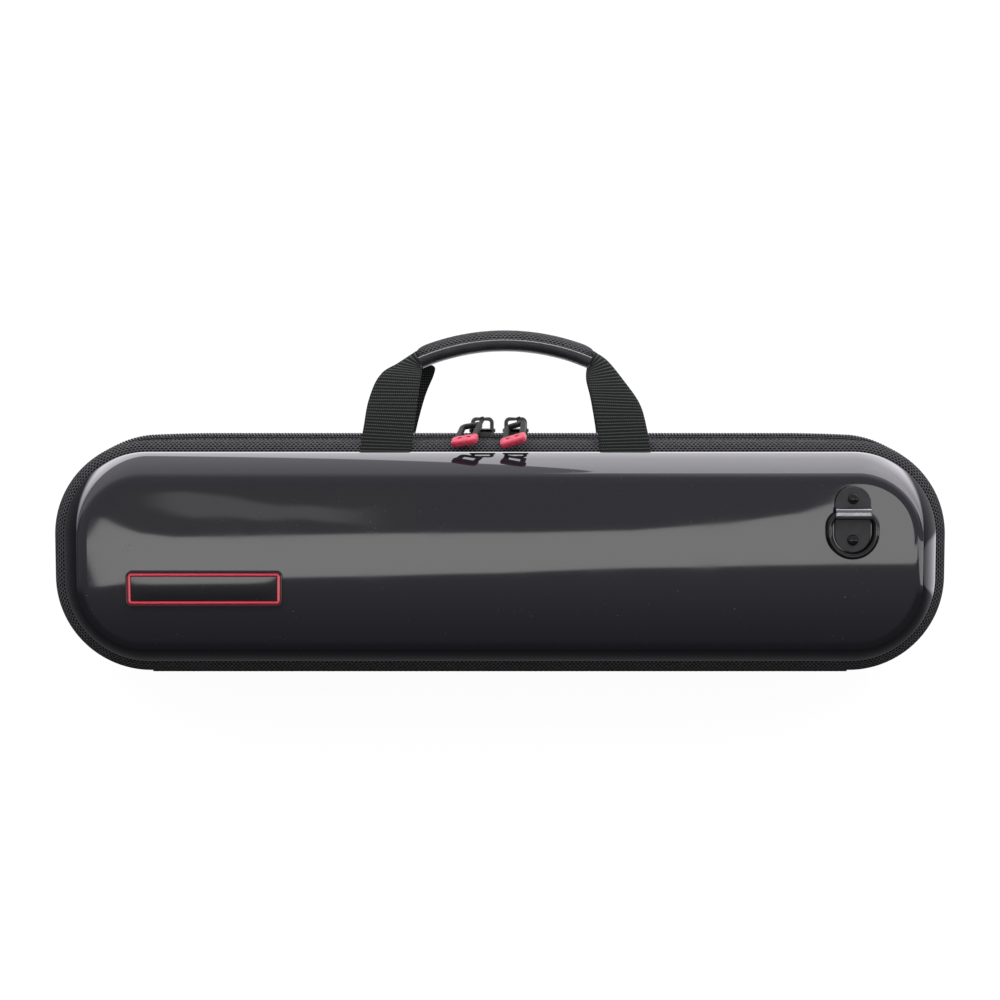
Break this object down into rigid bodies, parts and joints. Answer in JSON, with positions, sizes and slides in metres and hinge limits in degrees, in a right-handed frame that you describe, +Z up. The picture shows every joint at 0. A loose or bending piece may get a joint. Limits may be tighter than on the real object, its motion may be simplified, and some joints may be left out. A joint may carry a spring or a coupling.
{
  "type": "flute case",
  "caption": "Hard-shell flute case with a zip round three sides, webbing handle, strap ring, name plate, and a padded bed inside for a flute in three pieces.",
  "frame": {"origin": "middle of the box round the whole, at the rear shell's lowest face", "axes": "the case lies on its rear shell: +X along the case towards the badge's end, -Y out of the handle, +Y to the spine hinge, +Z up out of the front shell"},
  "size_m": [0.4438, 0.1708, 0.0853],
  "materials": {
    "gloss": "high gloss moulded shell",
    "mesh": "black mesh fabric over foam",
    "tape": "woven black tape",
    "coil": "satin black nylon",
    "webbing": "ribbed black webbing",
    "leathercloth": "smooth black leathercloth",
    "plush": "short black plush over foam",
    "hardware": "gloss black",
    "rubber": "soft coral red",
    "badge_red": "gloss crimson",
    "badge_black": "gloss black under clear resin"
  },
  "bodies": {
    "rear_half": {"rear_shell": "gloss", "rear_liner": "plush", "bed_strip_upper": "plush", "bed_strip_lower": "plush", "bed_rib_one": "plush", "bed_rib_two": "plush", "bed_rib_three": "plush", "bed_rib_four": "plush", "bed_base": "plush", "rear_piping": "mesh", "rear_edge_band": "mesh", "rear_binding": "tape", "rear_zip_tape": "tape", "rear_zip_coil": "coil", "zip_stop_left": "tape", "zip_stop_right": "tape", "spine_strip_rear": "tape", "handle_strap_rear": "webbing", "grip_pad_rear": "mesh", "grip_strip_rear": "leathercloth"},
    "front_half": {"front_shell": "gloss", "front_liner": "plush", "lid_pad": "plush", "front_piping": "mesh", "front_edge_band": "mesh", "front_binding": "tape", "front_zip_tape": "tape", "front_zip_coil": "coil", "spine_strip_front": "tape", "handle_strap_front": "webbing", "grip_pad_front": "mesh", "grip_strip_front": "leathercloth", "ring_plate": "hardware", "ring_backing": "hardware", "ring_rivet_upper": "hardware", "ring_rivet_lower": "hardware", "badge_rim": "badge_black", "badge_border": "badge_red", "badge_field": "badge_black"},
    "slider_left": {"zip_slider_left": "hardware"},
    "slider_right": {"zip_slider_right": "hardware"},
    "pull_left": {"pull_frame_left": "hardware", "pull_tip_left": "rubber"},
    "pull_right": {"pull_frame_right": "hardware", "pull_tip_right": "rubber"},
    "strap_ring": {"strap_ring": "hardware"}
  },
  "joints": [
    {"name": "lid_hinge", "type": "hinge", "parent": "rear_half", "child": "front_half", "pos_m": [0, 0.08572, 0.04], "axis": [-1, 0, 0], "range_deg": [0, 176]},
    {"name": "zip_left_slide", "type": "slide", "parent": "front_half", "child": "slider_left", "axis": [1, 0, 0], "range_m": [-0.0015, 0.019]},
    {"name": "zip_right_slide", "type": "slide", "parent": "front_half", "child": "slider_right", "axis": [-1, 0, 0], "range_m": [-0.0015, 0.034]},
    {"name": "pull_left_hinge", "type": "hinge", "parent": "slider_left", "child": "pull_left", "pos_m": [0.0088, -0.04127, 0.04], "axis": [1, 0, 0], "range_deg": [0, 215]},
    {"name": "pull_right_hinge", "type": "hinge", "parent": "slider_right", "child": "pull_right", "pos_m": [-0.0095, -0.04127, 0.04], "axis": [1, 0, 0], "range_deg": [0, 215]},
    {"name": "strap_ring_hinge", "type": "hinge", "parent": "front_half", "child": "strap_ring", "pos_m": [-0.171, 0.00162, 0.08225], "axis": [1, 0, 0], "range_deg": [0, 178]}
  ]
}
